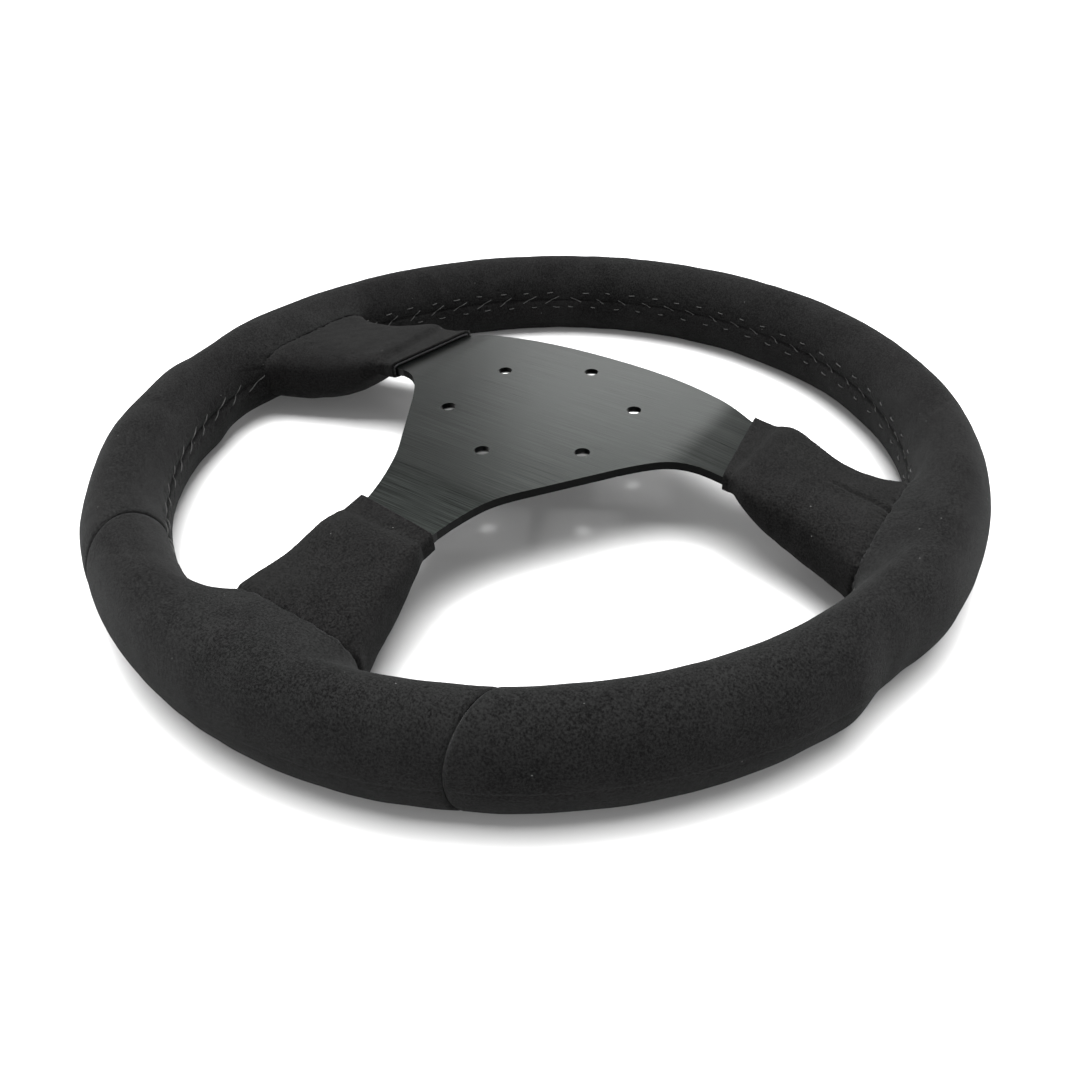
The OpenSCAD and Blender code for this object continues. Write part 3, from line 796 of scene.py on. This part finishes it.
# Puckers at the tuck line, unevenness over the body, and a fold on the left boot.
def wrinkleBoot(grid, boot, collar):
    u, v, z = grid[..., 0], grid[..., 1], grid[..., 2]
    cuffEnd, tuck, seed = boot["cuffEnd"], collar["tuckU"], boot["seed"]
    _, along = outlineDistance(v, z, collar)
    body = ramp(u, cuffEnd, cuffEnd + 6)
    lift = gathers(along, seed) * (pucker["soft"] * bump((tuck - u) / bootMake["creaseReach"])
                                   + pucker["sharp"] * bump((tuck - u) / pucker["sharpReach"]))
    lift = lift + body * (bootMake["lump"] * lumps(grid, bootMake["lumpSize"], seed)
                          + bootMake["crinkle"] * lumps(grid, bootMake["crinkleSize"], seed + 1))
    lift = lift + bootMake["grain"] * lumps(grid, bootMake["grainSize"], seed + 2)
    # a fold pressed flat where the suede was too wide
    across = v - bootMake["foldAcross"] + bootMake["foldLean"] * (u - 110)
    onTop = ramp(z, plateTop(u) + 1, plateTop(u) + 3) \
        * ramp(u, bootMake["foldFrom"], bootMake["foldFrom"] + 8)
    step = ramp(across, -0.4, 0.4) * (1 - ramp(across, 0.4, bootMake["foldWidth"]))
    crease = 1.3 * bump((across + 0.7) / 0.55)
    lift = lift + collar["fold"] * onTop * (step - crease)
    return grid + gridNormals(grid) * (lift * (1 - ramp(u, tuck, tuck + 1)))[..., None]


def makeBoot(name):
    outer = bootGrid(name)
    inner = bootGrid(name, skin=bootMake["skin"])[::2]
    points, quads = sleeve(outer, inner)
    piece = makeMesh(name, points, quads, bootSuede)
    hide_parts(name)


# The foam in a boot: it fills the suede and grips the spoke all round.
def makePad(name, bootName):
    boot, collar = boots[bootName], collars[bootName]
    gap, count = bootMake["padGap"], bootMake["points"]
    outer = bootGrid(bootName, skin=bootMake["skin"] + gap, fromU=boot["cuffEnd"] + 1.5)[::2]
    reach = toSpoke(outer, collar)[0][:, 0]
    share = (reach - boot["cuffEnd"]) / (plate["tip"] - boot["cuffEnd"])
    tipMiddle = 0.0 if collar["spin"] else plate["tipRise"]
    low, high = (edge + (tipMiddle + side * plate["tipWidth"] / 2 - edge) * share
                 for edge, side in zip(boot["edge"], (-1, 1)))
    inner = []
    for i, each in enumerate(reach):
        v, z = roundedRing((low[i] + high[i]) / 2, plateTop(each) - plate["thickness"] / 2,
                           (high[i] - low[i]) / 2 + gap, plate["thickness"] / 2 + gap, 12, count)
        inner.append(fromSpoke(np.full(count, each), v, z, collar))
    points, quads = sleeve(outer, np.array(inner))
    piece = makeMesh(name, points, quads, foam)
    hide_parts(name)


# The second layer in the cuff, between the suede and the plate. Its edge shows at the front.
def makeBacking(name, bootName):
    boot = boots[bootName]
    rows = int((boot["cuffEnd"] - 2 - boot["cuff"]) / bootMake["step"])
    outer = bootGrid(bootName, skin=bootMake["skin"] + bootMake["backingGap"])[:rows]
    inner = bootGrid(bootName, skin=plate["wrap"])[:rows]
    points, quads = sleeve(outer, inner)
    piece = makeMesh(name, points, quads, backingCloth)
    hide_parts(name)


for bootName in boots:
    makeBoot(bootName)
    makeBacking("cuff_backing" + bootName[4:], bootName)
    makePad("spoke_pad" + bootName[4:], bootName)

print("stage: lacing")


# Points over the laced seam, at a height above it and a lift off the suede.
def seamPoint(theta, height, lift):
    z = height + rim["seamRise"]
    phi = math.pi - np.arcsin(np.clip(z / rim["halfHeight"], -1, 1))
    return rimPoints(theta, phi, -lift)


# The paths of every visible thread of one run, each a little off its neighbours' pattern.
def threadPaths(run, seed):
    rng = np.random.default_rng(seed)
    pitch = math.radians((run["to"] - run["from"]) / run["count"])
    radius = lacing["thread"] / 2
    perRadian = 1 / rim["innerRadius"]
    strands = []
    for i in range(run["count"]):
        middle = math.radians(run["from"]) + (i + 0.5) * pitch
        pieces = [((0.0, 0.0), run["run"], run["rise"])]
        if run["dashes"]:
            pieces += [((run["upper"], lacing["rowHeight"]), lacing["dashLength"], 0.0),
                       ((run["lower"], -lacing["rowHeight"]), lacing["dashLength"], 0.0)]
        for (shift, height), length, rise in pieces:
            wobble = rng.uniform(-lacing["wander"], lacing["wander"], 4)
            length = length * rng.uniform(*lacing["lengthSpread"])
            t = np.linspace(-0.5, 0.5, 15)
            x = shift + wobble[0] + t * length
            h = height + wobble[1] * 0.5 + t * (rise + wobble[2])
            arch = 1 - (2 * np.abs(t)) ** 4
            lift = -lacing["sunk"] + (lacing["sunk"] + radius * 0.9) * arch
            strands.append(seamPoint(middle + x * perRadian, h, lift))
    return strands


def makeThread(name):
    run = lacing["runs"][name]
    allPoints, allQuads, first = [], [], 0
    for path in threadPaths(run, lacing["seed"] + int(run["from"])):
        points, quads = solidBody(tube(path, lacing["thread"] / 2))
        allPoints.append(points)
        allQuads.append(quads + first)
        first += len(points)
    piece = makeMesh(name, np.concatenate(allPoints), np.concatenate(allQuads), threadWax)
    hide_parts(name)


for threadName in lacing["runs"]:
    makeThread(threadName)

print("stage: plate, core and rivets")

for nodeName, material in (("spoke_plate", anodised), ("rim_core", coreSteel),
                           ("spoke_rivets", rivetMetal)):
    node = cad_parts[nodeName]
    node.data.materials.clear()
    node.data.materials.append(material)

print("stage: camera and lights")

# The lens and its sensor are in millimetres, the shifts are shares of the frame.
camera = {
    "place": (173.41, -230.17, 161.80),
    "forward": (-0.45717, 0.67644, -0.57744),
    "up": (-0.31058, 0.48696, 0.81634),
    "lens": 29.085, "sensor": 36, "shiftX": -0.0379, "shiftY": -0.0391,
}


def makeCamera():
    data = bpy.data.cameras.new("camera")
    data.lens, data.sensor_width = camera["lens"], camera["sensor"]
    data.shift_x, data.shift_y = camera["shiftX"], camera["shiftY"]
    data.clip_start, data.clip_end = 0.01, 50
    thing = bpy.data.objects.new("camera", data)
    forward = Vector(camera["forward"]).normalized()
    right = forward.cross(Vector(camera["up"])).normalized()
    up = right.cross(forward)
    turn = Matrix((right, up, -forward)).transposed().to_4x4()
    thing.matrix_world = Matrix.Translation(Vector(camera["place"]) * mm) @ turn
    bpy.context.scene.collection.objects.link(thing)
    bpy.context.scene.camera = thing


# The floor's size is in metres. A little light of its own keeps it pale.
studio = {"floorHalf": 2.2, "floorColour": (0.45, 0.45, 0.45, 1), "floorGlow": 0.07,
          "skyStrength": 0.78, "skySeen": 1.0}


def makeFloor():
    half, z = studio["floorHalf"], cadBox[0].z
    corners = [(-half, -half, z), (half, -half, z), (half, half, z), (-half, half, z)]
    mesh = bpy.data.meshes.new("floor")
    mesh.from_pydata(corners, [], [(0, 1, 2, 3)])
    material, _, _, shader = newMaterial("white studio floor")
    shader.inputs["Base Color"].default_value = studio["floorColour"]
    shader.inputs["Roughness"].default_value = 0.9
    shader.inputs["Emission Color"].default_value = (1, 1, 1, 1)
    shader.inputs["Emission Strength"].default_value = studio["floorGlow"]
    mesh.materials.append(material)
    floor = bpy.data.objects.new("floor", mesh)
    bpy.context.scene.collection.objects.link(floor)


# From is azimuth and height in degrees. Distance, width and height are in metres, power in watts.
lights = {
    "overhead softbox": {"from": (120, 86), "distance": 2.5, "width": 2.4, "height": 2.2,
                         "power": 270},
    "overhead spot": {"from": (120, 86), "distance": 7.0, "width": 0.8, "height": 0.8,
                      "power": 160},
    "back panel": {"from": (118, 30), "distance": 2.5, "width": 0.95, "height": 0.45,
                   "power": 10.5},
}


def makeLight(name, light):
    azimuth, height = (math.radians(angle) for angle in light["from"])
    place = Vector((math.cos(height) * math.cos(azimuth), math.cos(height) * math.sin(azimuth),
                    math.sin(height))) * light["distance"]
    data = bpy.data.lights.new(name, "AREA")
    data.shape, data.energy = "RECTANGLE", light["power"]
    data.size, data.size_y = light["width"], light["height"]
    lamp = bpy.data.objects.new(name, data)
    lamp.location = place
    lamp.rotation_mode = "QUATERNION"
    lamp.rotation_quaternion = (-place).to_track_quat("-Z", "Y")
    bpy.context.scene.collection.objects.link(lamp)


# Even white light from all round, a little weaker than the white behind the wheel.
def makeSky():
    world = bpy.data.worlds.new("studio")
    world.use_nodes = True
    nodes, links = world.node_tree.nodes, world.node_tree.links
    background = nodes["Background"]
    background.inputs["Color"].default_value = (1, 1, 1, 1)
    seen = nodes.new("ShaderNodeLightPath")
    strength = addNode(nodes, "ShaderNodeMapRange",
                       {"To Min": studio["skyStrength"], "To Max": studio["skySeen"]})
    links.new(seen.outputs["Is Camera Ray"], strength.inputs["Value"])
    links.new(strength.outputs["Result"], background.inputs["Strength"])
    bpy.context.scene.world = world


makeCamera()
makeFloor()
for lightName, light in lights.items():
    makeLight(lightName, light)
makeSky()
bpy.context.scene.view_settings.view_transform = "Standard"
